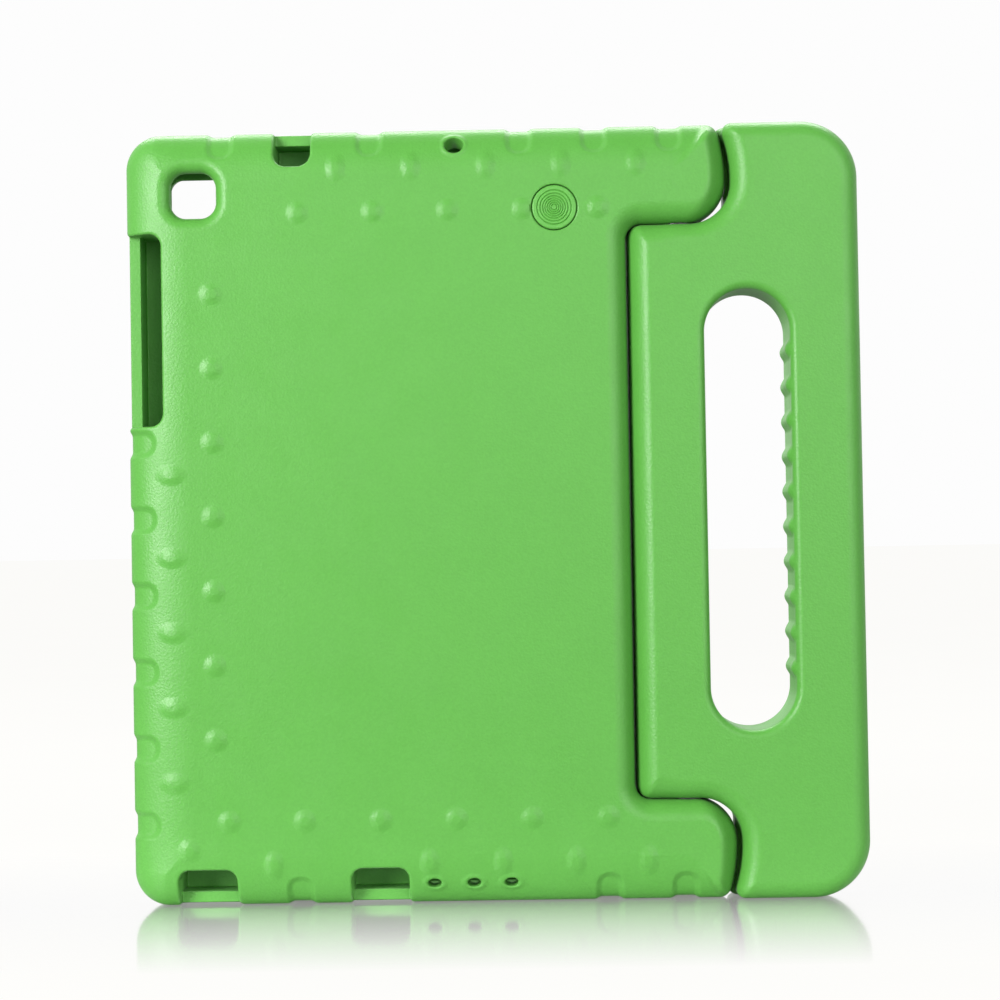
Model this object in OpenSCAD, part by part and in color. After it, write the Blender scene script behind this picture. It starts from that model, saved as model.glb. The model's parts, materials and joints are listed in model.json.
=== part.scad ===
// Moulded foam tablet case with a swinging carry handle.
// It stands on its short edge: +X points to the handle, +Y out of the screen, +Z up.
// The origin is at the middle of the base of the whole object. All sizes are in millimetres.

/* [Tablet] */
// Long side of the tablet that the case is moulded for
tablet_h = 245.2; // [240:0.1:250]
// Short side of the tablet
tablet_w = 149.4; // [145:0.1:155]
// Thickness of the tablet
tablet_t = 7.5; // [6.5:0.1:8.5]
// Gap between the tablet and the foam on each side
tablet_gap = 0.4; // [0.2:0.1:0.8]

/* [Case] */
// Foam around the tablet's edges
wall = 13; // [12:0.5:15]
// Foam behind the tablet
back_panel = 8; // [7:0.5:10]
// Foam thickness from the back face to the front face
case_t = 26; // [25:0.5:28]
// Overlap of the front lip on the tablet's face
lip = 2; // [1:0.5:3]
// Radius of the case's corners seen from behind
case_corner = 12; // [10:1:16]
// Rounding of the case's rear edges
rear_round = 8; // [6:0.5:9]
// Rounding of the case's front edges
front_round = 4.5; // [3:0.5:6]
// Height of each arm that holds the handle
arm_h = 35.5; // [34:0.5:38]
// How far the arms reach past the tablet section
arm_reach = 34.8; // [33:0.1:36]
// Radius of the arms' corners that face the handle
arm_corner = 13; // [9:1:14]

/* [Handle] */
// Distance from the tablet section to the hinge axis
axis_offset = 19.1; // [19:0.1:20]
// Gap between the handle's block and the tablet section
block_gap = 1.9; // [1.8:0.1:2.5]
// Gap between the handle's block and each arm
arm_gap = 1; // [0.8:0.1:1.4]
// Gap between an arm's end and the bar behind it
bar_gap = 3; // [2.8:0.1:4]
// Width of the bar outside the arms
bar_w = 44; // [42:0.5:46]
// Radius of the bar's outer corners
bar_corner = 20; // [15:1:24]
// Rounding of the handle's edges
handle_round = 6.5; // [5:0.5:7]
// Width of the finger slot
slot_w = 29.8; // [28:0.2:31]
// Length of the finger slot
slot_h = 154; // [140:1:160]
// Width of the foam left outside the finger slot
grip_w = 25; // [23:0.5:27]
// Number of finger ribs
rib_count = 10; // [6:1:11]
// Distance between the finger ribs
rib_pitch = 12.4; // [11:0.1:12.6]
// Height of a finger rib
rib_height = 1.7; // [1:0.1:2]

/* [Relief] */
// Spacing of the raised and sunk dots
dot_pitch = 26.3; // [26:0.1:26.5]
// Spacing of the sunk cups and oval dots along the left edge
cup_pitch = 26.8; // [26.5:0.1:27]
// Diameter of a round dot
dot_d = 7; // [6:0.5:8]
// Height of the raised dots
dot_height = 1; // [0.6:0.1:1.2]
// Width of the sunk cups on the edges
cup_w = 9; // [8:0.5:10]
// Depth of the sunk cups
cup_depth = 0.7; // [0.5:0.1:0.9]
// Diameter of the ringed disc
disc_d = 15.6; // [14:0.2:17]

/* [Hinge] */
// Diameter of each hinge pin
pin_d = 6; // [5.6:0.1:6]
// Radial running clearance of a pin in its bush
pin_clearance = 0.05; // [0.02:0.01:0.1]
// Outer diameter of the bush and of the anchor
bush_d = 12; // [11.6:0.1:12.4]
// Length of the bush
bush_l = 16; // [15:0.5:18]
// Diameter of the flanges
flange_d = 13; // [12.5:0.1:14]

/* [Hidden] */
$fn = 96;
eps = 0.01;
foam = [0.47, 0.78, 0.38];
foam_dark = [0.42, 0.74, 0.34];
nylon = [0.2, 0.22, 0.2];

pocket_w = tablet_w + 2 * tablet_gap;
pocket_h = tablet_h + 2 * tablet_gap;
pocket_t = tablet_t + tablet_gap;
case_w = pocket_w + 2 * wall;
case_h = pocket_h + 2 * wall;
total_w = case_w + arm_reach + bar_gap + bar_w;

case_x0 = -total_w / 2;
case_x1 = case_x0 + case_w;
arm_x1 = case_x1 + arm_reach;
bar_x0 = arm_x1 + bar_gap;
bar_x1 = bar_x0 + bar_w;
block_x0 = case_x1 + block_gap;
slot_x1 = bar_x1 - grip_w;
slot_x0 = slot_x1 - slot_w;

front_y = (case_t + dot_height) / 2;
back_y = front_y - case_t;
axis_y = front_y - case_t / 2;
axis_x = case_x1 + axis_offset;
floor_depth = case_t - back_panel;
rim_t = floor_depth - pocket_t;

arm_root = 30;
arm_sweep = 17.3;
block_sweep = axis_offset - 0.5;
recess_corner = 5;
bar_fillet = 12;
bar_overlap = 20;
face_t = 21;
slot_rim = 2.5;
slot_end_flat = 1;
rib_r = 2.4;
port_corner = 3.5;
window_corner = 3.5;
window_rim = 2;
outside = 20;
cup_reach = 10.3;
oval_half_w = 3.1;
oval_stretch = 1.6;

// Places of the relief. X counts from the case's left edge, Z from its lower or upper edge.
round_column = [30.2, 57.7];
round_column_last = 6;
upper_rounds = [61.5, case_h - 29.6];
upper_rounds_last = 4;
lower_rounds = [32.7, 29.1];
lower_rounds_last = 5;
oval_column = [14.6, 42.1];
oval_column_last = 4;
upper_ovals = [75, case_h - 13.8];
upper_ovals_last = 4;
lower_ovals = [49, 14.6];
lower_oval_steps = [0, 2, 3, 4, 5];
left_cups_z = 28.7;
left_cups_last = 5;
upper_cups_x = 34.1;
upper_cup_steps = [0, 2, 4, 5, 6];
lower_cups_x = 60.4;
lower_cup_steps = [0, 4, 5];

// Places of the openings, counted the same way
key_slot_z = [168.5, 236.2];
upper_port_x = [53, 66];
corner_notch_x = [16.4, 35.6];
connector_notch_x = [75.9, 96.9];
camera_x = [16.4, 31.9];
camera_z = [case_h - 30.4, case_h - 14.4];
camera_corner = 5.5;
camera_rim = 3;
slant_height = 7;
slant_w = 5;
grille_x = 104.9;
grille_pitch = 13.9;
grille_last = 2;
grille_h = 3.2;
jack_x = 115.7;
jack_h = 4.8;

disc_x = case_x1 - 24.7;
disc_z = case_h - 29.4;
disc_gap = 0.25;
ring_radii = [1, 1.7, 2.4, 3.15, 3.95, 4.9, 6];
ring_groove = 0.35;
disc_t = 2;
disc_stem_d = 8;
disc_stem_l = 3;

flange_t = 1.5;
cavity_l = bush_l + 5;
anchor_l = 22;
groove_d = 9.8;
groove_w = 2.4;
groove_z = 7;
ring_d = 1.78;
foot_d = 5.6;
foot_l = 18;
clip_d = 10;
clip_t = 0.8;
clip_gap = 0.3;
pin_neck_d = 4.6;
washer_t = 0.7;

// Sections through the foam: u runs inwards from an edge, v from the front face to the back.
module corner_cut(r) {
    difference() {
        translate([-eps, -eps]) square(r + eps);
        translate([r, r]) circle(r);
    }
}

module edge_section(width, front_r, rear_r, t) {
    difference() {
        square([width, t]);
        if (front_r > 0) corner_cut(front_r);
        if (rear_r > 0) translate([0, t]) mirror([0, 1]) corner_cut(rear_r);
    }
}

// Lays a shape drawn in the X-Z plane, with its depth counted from the front face, into place
module plan() {
    translate([0, front_y, 0]) rotate([90, 0, 0]) children();
}

module puck(r, front_r, rear_r, t) {
    rotate_extrude() translate([r, 0]) mirror([1, 0]) edge_section(r, front_r, rear_r, t);
}

// A slab with rounded edges. Its corner radii run anticlockwise from the lower left one.
module rounded_slab(lo, hi, radii, front_r, rear_r, t = case_t) {
    centres = [
        lo + [radii[0], radii[0]],
        [hi[0] - radii[1], lo[1] + radii[1]],
        hi - [radii[2], radii[2]],
        [lo[0] + radii[3], hi[1] - radii[3]]
    ];
    linear_extrude(t) polygon(centres);
    for (i = [0:3]) {
        next = (i + 1) % 4;
        along = [cos(90 * i), sin(90 * i)];
        width = max(radii[i], radii[next]);
        translate(centres[i]) puck(radii[i], front_r, rear_r, t);
        translate(centres[i] + radii[i] * [along[1], -along[0]])
            rotate([90, 0, 90 + 90 * i])
                linear_extrude((centres[next] - centres[i]) * along)
                    edge_section(width, front_r, rear_r, t);
    }
}

// The space of a round hole whose rims are rounded
module round_space(r, front_r, rear_r, t) {
    rim = max(front_r, rear_r);
    rotate_extrude() difference() {
        translate([0, -eps]) square([r + rim, t + 2 * eps]);
        translate([r, 0]) edge_section(rim + eps, front_r, rear_r, t);
    }
}

// The space of a rectangular hole with round corners and rounded rims
module hole_space(lo, hi, r, front_r, rear_r, t) {
    rim = max(front_r, rear_r);
    centres = [lo + [r, r], [hi[0] - r, lo[1] + r], hi - [r, r], [lo[0] + r, hi[1] - r]];
    for (i = [0:3]) {
        along = [cos(90 * i), sin(90 * i)];
        translate(centres[i]) {
            round_space(r, front_r, rear_r, t);
            rotate([90, 0, 90 + 90 * i])
                linear_extrude((centres[(i + 1) % 4] - centres[i]) * along)
                    difference() {
                        translate([-r - rim, -eps]) square([r + rim, t + 2 * eps]);
                        translate([-r, 0]) mirror([1, 0]) edge_section(rim + eps, front_r, rear_r, t);
                    }
        }
    }
    translate([lo[0] + r, lo[1] + r, -eps])
        cube([hi[0] - lo[0] - 2 * r, hi[1] - lo[1] - 2 * r, t + 2 * eps]);
}

// Fills an inner corner at the origin, whose open side is towards +X +Y
module inner_corner(r, front_r, rear_r) {
    reach = max(front_r, rear_r);
    difference() {
        translate([-reach, -reach, 0]) cube([reach + r, reach + r, case_t]);
        translate([r, r, 0]) round_space(r, front_r, rear_r, case_t);
    }
}

// Turns a shape made for the top arm over to the bottom arm
module flipped() {
    translate([0, 0, case_h]) mirror([0, 0, 1]) children();
}

module at_both_ends() {
    children();
    flipped() children();
}

// The foam of the tablet section and of both arms
module case_foam() {
    r = case_corner;
    e = rear_round;
    rounded_slab([case_x0, 0], [case_x1, case_h], [r, r, r, r], front_round, e);
    for (end = [0, 1])
        translate([0, end * case_h, 0]) mirror([0, end, 0]) {
            rounded_slab([case_x1 - arm_root, 0], [arm_x1, arm_h], [e, e, arm_corner, e], front_round, e);
            translate([case_x1, arm_h, 0]) inner_corner(recess_corner, front_round, e);
        }
}

// One raised round dot, centred on the back face
module round_dot() {
    r = (dot_d * dot_d / 4 + dot_height * dot_height) / (2 * dot_height);
    translate([0, 0, case_t + dot_height - r]) sphere(r);
}

// One raised oval dot, longer along X
module oval_dot() {
    r = (oval_half_w * oval_half_w + dot_height * dot_height) / (2 * dot_height);
    translate([0, 0, case_t + dot_height - r]) {
        for (side = [-1, 1]) translate([oval_stretch * side, 0, 0]) sphere(r);
        rotate([0, 90, 0]) cylinder(r = r, h = 2 * oval_stretch, center = true);
    }
}

// Places the shape at a point of the relief
module at_relief(place) {
    translate([case_x0 + place[0], place[1], 0]) children();
}

// Raised dots: a column and two rows of round ones, with oval ones nearer the edges
module dots() {
    for (k = [0:round_column_last]) at_relief(round_column + [0, dot_pitch * k]) round_dot();
    for (k = [0:upper_rounds_last]) at_relief(upper_rounds + [dot_pitch * k, 0]) round_dot();
    for (k = [0:lower_rounds_last]) at_relief(lower_rounds + [dot_pitch * k, 0]) round_dot();
    for (k = [0:oval_column_last]) at_relief(oval_column + [0, cup_pitch * k]) oval_dot();
    for (k = [0:upper_ovals_last]) at_relief(upper_ovals + [dot_pitch * k, 0]) rotate(90) oval_dot();
    for (k = lower_oval_steps) at_relief(lower_ovals + [dot_pitch * k, 0]) rotate(90) oval_dot();
}

// A sunk cup that wraps over the rear edge, for an edge that faces -X
module cup() {
    skin = cup_depth;
    intersection() {
        translate([0, 0, case_t / 2]) linear_extrude(case_t) {
            translate([cup_reach - cup_w / 2, 0]) circle(d = cup_w);
            translate([-1, -cup_w / 2]) square([1 + cup_reach - cup_w / 2, cup_w]);
        }
        rotate([90, 0, 0]) linear_extrude(cup_w + 1, center = true) difference() {
            translate([-1, 0]) square([cup_reach + 2, case_t + 1]);
            translate([skin, 0]) edge_section(cup_reach + 2, 0, rear_round - skin, case_t - skin);
        }
    }
}

// Sunk cups along three edges, left out where a port or hole takes their place
module cups() {
    for (k = [0:left_cups_last]) at_relief([0, left_cups_z + cup_pitch * k]) cup();
    for (k = upper_cup_steps) at_relief([upper_cups_x + dot_pitch * k, case_h]) rotate(-90) cup();
    for (k = lower_cup_steps) at_relief([lower_cups_x + dot_pitch * k, 0]) rotate(90) cup();
}

// A notch through the wall for a port, from the pocket's rim to behind the case
module port(lo, hi) {
    translate([0, 0, rim_t]) linear_extrude(case_t) {
        translate(lo + [port_corner, 0]) square(hi - lo - [2 * port_corner, 0]);
        translate(lo + [0, port_corner]) square(hi - lo - [0, 2 * port_corner]);
        for (x = [lo[0] + port_corner, hi[0] - port_corner], y = [lo[1] + port_corner, hi[1] - port_corner])
            translate([x, y]) circle(port_corner);
    }
}

// A slanted passage from the rear edge's rounding into the pocket, drawn for the lower edge
module slant_hole(x, h) {
    reach = 2 * (wall + 4);
    translate([case_x0 + x, slant_height, case_t - 1]) rotate([135, 0, 0]) {
        for (side = [-1, 1])
            translate([side * (slant_w - h) / 2, 0, 0]) cylinder(d = h, h = reach, center = true);
        cube([slant_w - h, h, reach], center = true);
    }
}

module case_openings() {
    pocket_lo = [case_x0 + wall, wall];
    pocket_hi = [case_x1 - wall, case_h - wall];
    lips = [lip, lip];
    translate([pocket_lo[0], pocket_lo[1], rim_t]) cube([pocket_w, pocket_h, pocket_t]);
    hole_space(pocket_lo + lips, pocket_hi - lips, window_corner, window_rim, 0, rim_t + eps);
    translate([0, 0, floor_depth])
        hole_space([case_x0 + camera_x[0], camera_z[0]], [case_x0 + camera_x[1], camera_z[1]],
                   camera_corner, 0, camera_rim, back_panel);
    port([case_x0 - outside, key_slot_z[0]], [case_x0 + wall + eps, key_slot_z[1]]);
    port([case_x0 + upper_port_x[0], case_h - wall - eps], [case_x0 + upper_port_x[1], case_h + outside]);
    for (x = [corner_notch_x, connector_notch_x])
        port([case_x0 + x[0], -outside], [case_x0 + x[1], wall + eps]);
    for (k = [0:grille_last]) slant_hole(grille_x + grille_pitch * k, grille_h);
    translate([0, case_h, 0]) mirror([0, 1, 0]) slant_hole(jack_x, jack_h);
    cups();
}

// Hinge parts and bores are drawn for the top arm, around the hinge axis at the arm's inner face
module at_hinge() {
    translate([axis_x, axis_y, case_h - arm_h]) children();
}

// Trims the end of an arm so that it clears the bar as the handle swings
module arm_trim() {
    at_hinge() difference() {
        translate([0, -case_t, -1]) cube([2 * bar_gap + axis_offset, 2 * case_t, arm_h + 2]);
        translate([0, 0, -2]) cylinder(r = arm_sweep, h = arm_h + 4);
    }
}

module arm_bore() {
    at_hinge() {
        translate([0, 0, -eps]) cylinder(d = bush_d, h = cavity_l + eps);
        translate([0, 0, -eps]) cylinder(d = flange_d, h = flange_t + eps);
    }
}

module disc_seat() {
    translate([disc_x, back_y, disc_z]) rotate([-90, 0, 0]) {
        translate([0, 0, -eps]) cylinder(d = disc_d + 2 * disc_gap, h = disc_t + eps);
        translate([0, 0, -eps]) cylinder(d = disc_stem_d, h = disc_t + disc_stem_l + eps);
    }
}

module body_shell() {
    color(foam) difference() {
        plan() {
            case_foam();
            dots();
        }
        plan() case_openings();
        at_both_ends() {
            arm_trim();
            arm_bore();
        }
        disc_seat();
    }
}

module ring_disc() {
    color(foam_dark) translate([disc_x, back_y, disc_z]) rotate([-90, 0, 0]) difference() {
        union() {
            cylinder(d = disc_d, h = disc_t);
            cylinder(d = disc_stem_d, h = disc_t + disc_stem_l);
        }
        for (r = ring_radii)
            rotate_extrude() translate([r - ring_groove / 2, -eps]) square([ring_groove, ring_groove]);
    }
}

// The handle's block and bar, with the bar's inner corners filled
module handle_foam() {
    r = handle_round;
    block_lo = arm_h + arm_gap;
    block_hi = case_h - arm_h - arm_gap;
    rounded_slab([bar_x0, 0], [bar_x1, case_h], [r, bar_corner, bar_corner, r], r, r);
    rounded_slab([block_x0, block_lo], [bar_x0 + bar_overlap, block_hi], [r, r, r, r], r, r);
    for (end = [0, 1])
        translate([0, end * case_h, 0]) mirror([0, end, 0])
            translate([bar_x0, block_lo, 0]) mirror([1, 0, 0]) mirror([0, 1, 0])
                inner_corner(bar_fillet, r, r);
}

module finger_ribs() {
    first = (case_h - rib_pitch * (rib_count - 1)) / 2;
    for (k = [0 : rib_count - 1])
        translate([slot_x1 + rib_r - rib_height, first + rib_pitch * k, slot_rim])
            cylinder(r = rib_r, h = case_t - 2 * slot_rim);
}

// The block's face next to the tablet section, round about the hinge axis to keep that gap narrow
module block_face() {
    margin = arm_h + arm_gap + handle_round;
    translate([axis_x, axis_y, margin]) intersection() {
        cylinder(r = block_sweep, h = case_h - 2 * margin);
        translate([-axis_offset, -face_t / 2, -eps]) cube([axis_offset, face_t, case_h]);
    }
}

// Trims the block's corners next to the tablet section to the same round
module block_trim() {
    translate([axis_x, axis_y, 0]) difference() {
        translate([-axis_offset, -case_t, 0]) cube([axis_offset, 2 * case_t, case_h]);
        translate([0, 0, -1]) cylinder(r = block_sweep, h = case_h + 2);
    }
}

module anchor_bore() {
    at_hinge() translate([0, 0, -arm_gap - anchor_l]) {
        cylinder(d = bush_d, h = anchor_l + eps);
        translate([0, 0, anchor_l - flange_t]) cylinder(d = flange_d, h = flange_t + eps);
    }
}

module handle() {
    color(foam) difference() {
        union() {
            block_face();
            plan() difference() {
                handle_foam();
                hole_space([slot_x0, (case_h - slot_h) / 2], [slot_x1, (case_h + slot_h) / 2],
                           (slot_w - slot_end_flat) / 2, slot_rim, slot_rim, case_t);
            }
            plan() finger_ribs();
        }
        block_trim();
        at_both_ends() anchor_bore();
    }
}

// Flanged bush pressed into the arm, with an inner groove for the friction ring
module arm_bush() {
    color(nylon) at_hinge() difference() {
        union() {
            cylinder(d = flange_d, h = flange_t);
            cylinder(d = bush_d, h = bush_l);
        }
        translate([0, 0, -eps]) cylinder(d = pin_d + 2 * pin_clearance, h = bush_l + 2 * eps);
        translate([0, 0, groove_z]) cylinder(d = groove_d, h = groove_w);
    }
}

// O-ring that grips the pin inside the bush
module friction_ring() {
    color("black") at_hinge() translate([0, 0, groove_z + groove_w / 2])
        rotate_extrude() translate([pin_d / 2 + pin_clearance + ring_d / 2, 0]) circle(d = ring_d);
}

// Pin with a hexagonal foot in the anchor and a groove for the clip at its free end
module hinge_pin() {
    color(nylon) at_hinge() difference() {
        union() {
            translate([0, 0, -arm_gap - foot_l]) cylinder(d = foot_d, h = foot_l, $fn = 6);
            translate([0, 0, -arm_gap]) cylinder(d = pin_d, h = arm_gap + bush_l + clip_gap + clip_t + 2);
        }
        translate([0, 0, bush_l + clip_gap]) difference() {
            cylinder(d = pin_d + 1, h = clip_t);
            translate([0, 0, -eps]) cylinder(d = pin_neck_d, h = clip_t + 2 * eps);
        }
    }
}

// Open ring that keeps the pin from pulling out of the bush
module retaining_clip() {
    color("silver") at_hinge() translate([0, 0, bush_l + clip_gap]) difference() {
        cylinder(d = clip_d, h = clip_t);
        translate([0, 0, -eps]) cylinder(d = pin_neck_d, h = clip_t + 2 * eps);
        translate([0, -pin_neck_d / 2 + 0.4, -eps]) cube([clip_d, pin_neck_d - 0.8, clip_t + 2 * eps]);
    }
}

// Slippery washer in the gap between the arm and the handle's block
module thrust_washer() {
    color("white") at_hinge() translate([0, 0, -(arm_gap + washer_t) / 2]) difference() {
        cylinder(d = bush_d, h = washer_t);
        translate([0, 0, -eps]) cylinder(d = pin_d + 0.5, h = washer_t + 2 * eps);
    }
}

// Socket bonded into the handle's block, which the pin's foot turns with
module handle_anchor() {
    color(nylon) at_hinge() translate([0, 0, -arm_gap - anchor_l]) difference() {
        union() {
            cylinder(d = bush_d, h = anchor_l);
            translate([0, 0, anchor_l - flange_t]) cylinder(d = flange_d, h = flange_t);
        }
        translate([0, 0, anchor_l - foot_l - 1]) cylinder(d = foot_d + 0.1, h = foot_l + 2, $fn = 6);
    }
}

body_shell();
ring_disc();
handle();
arm_bush();  // arm_bush_top
flipped() arm_bush();  // arm_bush_bottom
friction_ring();  // friction_ring_top
flipped() friction_ring();  // friction_ring_bottom
hinge_pin();  // hinge_pin_top
flipped() hinge_pin();  // hinge_pin_bottom
retaining_clip();  // retaining_clip_top
flipped() retaining_clip();  // retaining_clip_bottom
thrust_washer();  // thrust_washer_top
flipped() thrust_washer();  // thrust_washer_bottom
handle_anchor();  // handle_anchor_top
flipped() handle_anchor();  // handle_anchor_bottom
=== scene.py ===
"""Looks of a moulded foam tablet case with a swinging carry handle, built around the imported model."""

import json
import math

import bpy
import numpy as np
from mathutils import Euler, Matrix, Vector


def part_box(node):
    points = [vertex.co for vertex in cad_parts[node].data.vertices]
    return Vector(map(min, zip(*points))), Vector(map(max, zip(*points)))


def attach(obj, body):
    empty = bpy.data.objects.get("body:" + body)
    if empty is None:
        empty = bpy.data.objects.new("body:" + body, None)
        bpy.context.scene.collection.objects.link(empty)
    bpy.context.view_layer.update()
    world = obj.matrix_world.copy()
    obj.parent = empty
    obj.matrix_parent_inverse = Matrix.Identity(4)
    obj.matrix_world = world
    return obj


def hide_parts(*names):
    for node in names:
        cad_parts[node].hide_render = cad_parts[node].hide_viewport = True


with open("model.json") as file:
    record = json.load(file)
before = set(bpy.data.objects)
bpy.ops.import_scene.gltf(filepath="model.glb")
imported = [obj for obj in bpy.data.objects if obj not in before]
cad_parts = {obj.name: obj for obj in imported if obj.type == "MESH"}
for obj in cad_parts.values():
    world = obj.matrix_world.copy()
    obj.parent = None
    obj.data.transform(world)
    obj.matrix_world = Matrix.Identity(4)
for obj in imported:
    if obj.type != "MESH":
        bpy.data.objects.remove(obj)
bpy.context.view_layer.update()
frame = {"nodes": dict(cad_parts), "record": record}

MM = 0.001


def box_mm(node):
    """A CAD node's box in millimetres, as two arrays."""
    low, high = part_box(node)
    return np.array(low) / MM, np.array(high) / MM


# Places and sizes are in millimetres. X runs across the case, Y from its back to its screen side, Z up.
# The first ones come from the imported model, or follow from it.
SHELL_LO, SHELL_HI = box_mm("body_shell")
HANDLE_LO, HANDLE_HI = box_mm("handle")
DISC_LO, DISC_HI = box_mm("ring_disc")
BUSH_LO, BUSH_HI = box_mm("arm_bush_top")
ANCHOR_LO, ANCHOR_HI = box_mm("handle_anchor_top")
AXIS_X, AXIS_Y = [v / MM for v in frame["record"]["behaviour"]["joints"][0]["pos_m"][:2]]
HEIGHT = SHELL_HI[2]
MID_Z = HEIGHT / 2
LEFT = SHELL_LO[0]
FRONT = SHELL_HI[1]
BACK = HANDLE_LO[1]
MID_Y = (FRONT + BACK) / 2
HALF_THICK = (FRONT - BACK) / 2
BAR_END = HANDLE_HI[0]
ARM_FACE = BUSH_LO[2] - MID_Z
BLOCK_FACE = ANCHOR_HI[2] - MID_Z
FLANGE_R = (BUSH_HI[0] - BUSH_LO[0]) / 2 + 0.05
BUSH_R = FLANGE_R - 0.5

# Distances further out than anything there is.
BEYOND = 200
FAR = 99
OPEN_END = SHELL_HI[0] + 1.2 + 60

# The tablet section, its pocket and the window in front of the pocket.
CASE_CORNER = 12.5
SECTION_RIGHT = AXIS_X - 18.9
WALL = 13.0
BACK_PANEL = 8.0
POCKET_T = 7.9
POCKET_FLOOR = BACK + BACK_PANEL
POCKET_TOP = POCKET_FLOOR + POCKET_T
POCKET_LO = (LEFT + WALL, WALL)
POCKET_HI = (AXIS_X - 19.1 - WALL, HEIGHT - WALL)
POCKET_CORNER, POCKET_EDGE = 5.0, 1.2
LIP = 2.0
BEZEL_SLOPE = 0.18
WINDOW_CORNER, WINDOW_EDGE = 3.5, 2.5

# Roundings of the case: how far they reach across the face, and how far they drop in depth.
REAR_REACH, SIDE_REACH = 18.0, 5.0
REAR_DROP = 10.0
RIM_REACH = RIM_DROP = 4.5
RECESS_REACH_REAR, RECESS_REACH_RIM = 7.5, 6.5
TIP_REACH = 3.0
HINGE_DROP = 8.0
TIP_DROP_LOSS = 1.4

# The arms, the handle's block between them and its bar. The gap around them is narrow at the back, and in the
# front half its walls lean over it by LIP_REACH.
ARM_END = SHELL_HI[0] + 1.2
ARM_CORNER = 15.5
ARM_TIP_CORNER = 3.5
ARM_BOW = 0.0085
RECESS_CORNER = 5.5
GAP_SHIFT = 0.5
LIP_REACH = 2.2
RUB_GAP = 0.3
BOW_START = 117.0
BAR_IN = ARM_END + 1.4
BAR_CORNER = 20.0
BAR_FILLET = 14.8
BAR_BOW = 0.0115
BAR_TIP_CORNER = 5.0
BAR_REACH, BLOCK_MORE_REACH, BAR_LESS_REACH = 6.8, 2.2, 4.0
BLOCK_IN = AXIS_X - 18.9
BLOCK_CORNER = 5.8
BLOCK_RISE = 0.75
BLOCK_SWEEP = 18.9
BLOCK_SWEEP_CORNER = 2.0

# The finger slot in the bar, and the ribs along its right side.
SLOT_RIGHT = BAR_END - 25.0
SLOT_WIDTH = 29.8
SLOT_HALF = 77
SLOT_CORNER, SLOT_EDGE = 14.8, 2.8
RIBS, RIB_PITCH = 10, 12.4
RIB_R, RIB_IN, RIB_HALF_LENGTH, RIB_FILLET = 2.6, 1.0, 8.0, 1.6

# Raised dots on the back: ovals near the edges, round ones further in.
DOT_STEP = 26.3
OVAL_LONG, OVAL_SHORT, OVAL_RISE = 4.9, 3.3, 0.62
LEFT_OVALS_X = LEFT + 15.6
LEFT_OVALS_Z = (43.6, 69.9, 96.0, 122.2, 151.2)
TOP_OVALS_START, TOP_OVALS_Z = -54, 258.2
BOTTOM_OVALS_X = (-79.0, -24.7, 0.8, 26.2, 51.5)
BOTTOM_OVALS_Z = 14.6
CORNER_DOT = (LEFT + 20.6, 20.1, 3.6, 3.8)
ROUND_R, ROUND_RISE = 3.7, 0.7
LEFT_ROUNDS_X, LEFT_ROUNDS_START, LEFT_ROUNDS_STEP = LEFT + 30.5, 58.4, 26.0
TOP_ROUNDS_START, TOP_ROUNDS_Z = -67.5, 242.4
BOTTOM_ROUNDS_START, BOTTOM_ROUNDS_STEP, BOTTOM_ROUNDS_Z = -94.4, 26.4, 29.9

# Cups sunk into the outer edges.
CUP_LENGTH, CUP_WIDTH, CUP_DEPTH = 10.4, 9.4, 0.95
LEFT_CUPS_START, CUP_STEP = 28.7, 26.75
TOP_CUPS_START = -94.9
BOTTOM_CUPS_X = (-70.0, 37.9, 64.4)

# Openings. A port is its middle, its direction out of the case, its width and its corners' radius.
LENS_HOLE_LO, LENS_HOLE_HI = (LEFT + 16.4, 241.6), (LEFT + 32.4, 257.6)
LENS_HOLE_CORNER, LENS_HOLE_EDGE = 5.5, 4.8
KEYS_LOW, KEYS_HIGH = 168.5, 236.2
PORTS = ((LEFT, (KEYS_LOW + KEYS_HIGH) / 2, (-1, 0), KEYS_HIGH - KEYS_LOW, 4.5),
         (-69.5, HEIGHT, (0, 1), 13.0, 4.6),
         (-102.4, 0, (0, -1), 20.5, 4.0),
         (-42.1, 0, (0, -1), 20.0, 4.0))
GRILLE_X, GRILLE_Z, GRILLE_SIZE, GRILLE_LEAN = (-23.2, -9.4, 3.6), 7.4, (4.7, 3.1), 6
JACK_X, JACK_Z, JACK_SIZE, JACK_LEAN = -12.4, HEIGHT - 5.6, (6.6, 6.2), 26

# The disc with turned rings.
DISC_X, DISC_Z = (DISC_LO[0] + DISC_HI[0]) / 2, (DISC_LO[2] + DISC_HI[2]) / 2
DISC_RADIUS = (DISC_HI[0] - DISC_LO[0]) / 2
DISC_THICK = 2.0
DISC_STEM_R = 4.0
DISC_GAP = 0.28
DISC_EDGE = 0.6
DISC_GROOVES = (1.0, 1.7, 2.4, 3.15, 3.95, 4.9, 6.0)
GROOVE_DEPTH, GROOVE_WIDTH = 0.42, 0.17

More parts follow.
